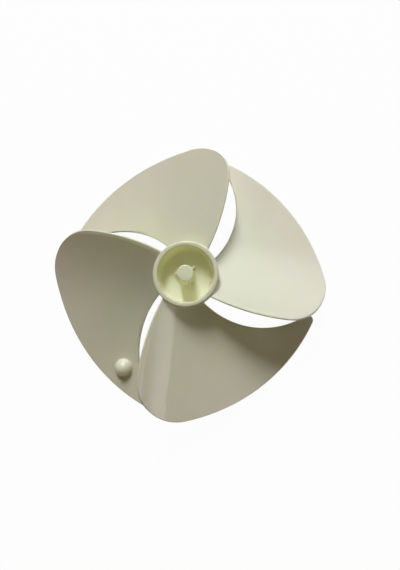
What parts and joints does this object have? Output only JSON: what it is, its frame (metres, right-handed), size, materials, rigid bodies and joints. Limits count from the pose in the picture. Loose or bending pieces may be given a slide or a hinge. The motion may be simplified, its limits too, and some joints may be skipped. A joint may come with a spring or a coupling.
{
  "type": "axial fan blade",
  "caption": "Moulded axial fan with broad pitched blades that lap over each other, on an open hub cup with a blind shaft socket and a round balance knob.",
  "frame": {"origin": "on the fan axis, level with the lowest corners of the blades", "axes": "+Z along the fan axis out of the open hub mouth; +Y points to the leading tip of the first blade; the other blades follow anticlockwise seen from +Z"},
  "size_m": [0.121, 0.121, 0.0282],
  "materials": {
    "ivory_plastic": "smooth glossy ivory moulding"
  },
  "bodies": {
    "root": {"fan_blade": "ivory_plastic"}
  },
  "joints": []
}
